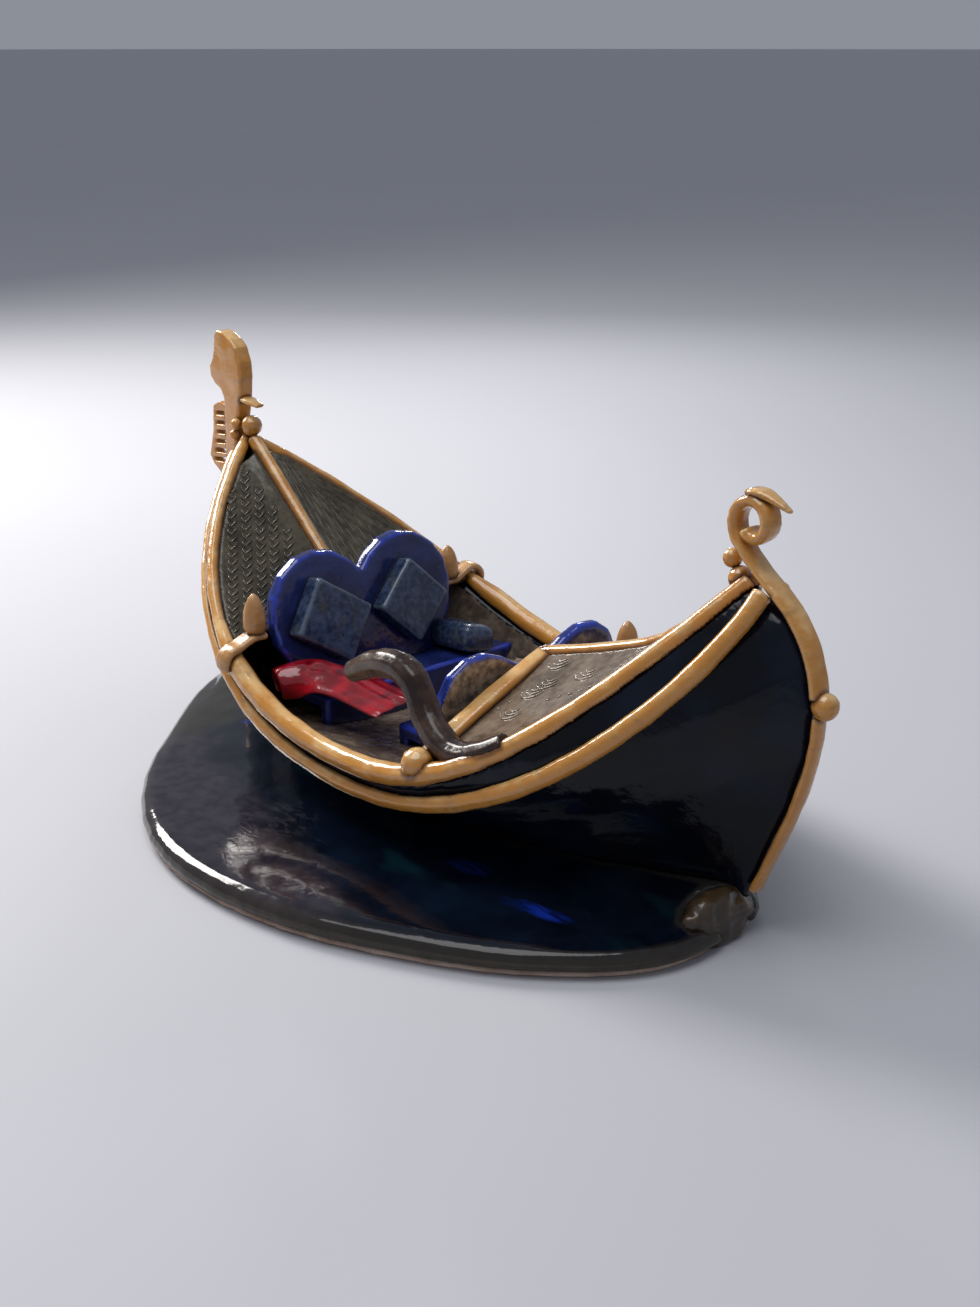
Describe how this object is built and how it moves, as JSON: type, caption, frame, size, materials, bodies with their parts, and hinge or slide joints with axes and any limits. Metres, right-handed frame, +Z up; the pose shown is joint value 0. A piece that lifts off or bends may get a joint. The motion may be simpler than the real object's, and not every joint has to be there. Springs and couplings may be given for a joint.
{
  "type": "ceramic gondola figurine on a base",
  "caption": "Glazed ceramic gondola figurine with raised bow and stern, heart-backed seat, cushions and a rowlock, fused to a wave-shaped glazed slab; an ornament that stands on a shelf.",
  "frame": {"origin": "centre of the figurine's footprint box, on the surface that it stands on", "axes": "+X towards the bow, +Y to the boat's port side, +Z up"},
  "size_m": [0.3616, 0.2108, 0.1742],
  "materials": {
    "amber_glaze": "gloss",
    "ochre_clay": "satin",
    "night_blue_glaze": "gloss",
    "sea_glaze": "gloss",
    "bare_clay": "matte",
    "olive_glaze": "satin",
    "cobalt_glaze": "gloss",
    "slate_glaze": "satin",
    "red_glaze": "gloss",
    "umber_glaze": "gloss"
  },
  "bodies": {
    "root": {"base_foot": "bare_clay", "base_slab": "sea_glaze", "bow_ball": "amber_glaze", "bow_ball_small_lower": "amber_glaze", "bow_ball_small_upper": "amber_glaze", "bow_deck_port": "olive_glaze", "bow_deck_starboard": "olive_glaze", "bow_ridge_trim": "amber_glaze", "cockpit_floor": "olive_glaze", "cushion_port": "slate_glaze", "cushion_starboard": "slate_glaze", "ferro_blade": "amber_glaze", "ferro_comb": "amber_glaze", "ferro_tooth": "amber_glaze", "finial_bow_port": "ochre_clay", "finial_bow_starboard": "ochre_clay", "finial_bracket_bow_port": "ochre_clay", "finial_bracket_bow_starboard": "ochre_clay", "finial_bracket_stern_starboard": "ochre_clay", "finial_stern_starboard": "ochre_clay", "forcola": "umber_glaze", "gunwale_knot": "amber_glaze", "gunwale_port": "amber_glaze", "gunwale_starboard": "amber_glaze", "heart_seat_back": "cobalt_glaze", "heart_seat_bench": "cobalt_glaze", "hull_shell": "night_blue_glaze", "pillow": "slate_glaze", "red_cloth": "red_glaze", "scroll_leaf": "amber_glaze", "stem_band": "amber_glaze", "stern_deck_band_port": "amber_glaze", "stern_deck_band_starboard": "amber_glaze", "stern_deck_port": "olive_glaze", "stern_deck_starboard": "olive_glaze", "stern_edge_ball": "amber_glaze", "stern_foot_lump": "ochre_clay", "stern_lower_band": "amber_glaze", "stern_ridge_trim": "amber_glaze", "stern_seat_back": "cobalt_glaze", "stern_seat_bench": "cobalt_glaze", "stern_tip_ball_lower": "amber_glaze", "stern_tip_ball_upper": "amber_glaze", "sternpost_band": "amber_glaze", "strake_port": "amber_glaze", "strake_starboard": "amber_glaze"}
  },
  "joints": []
}
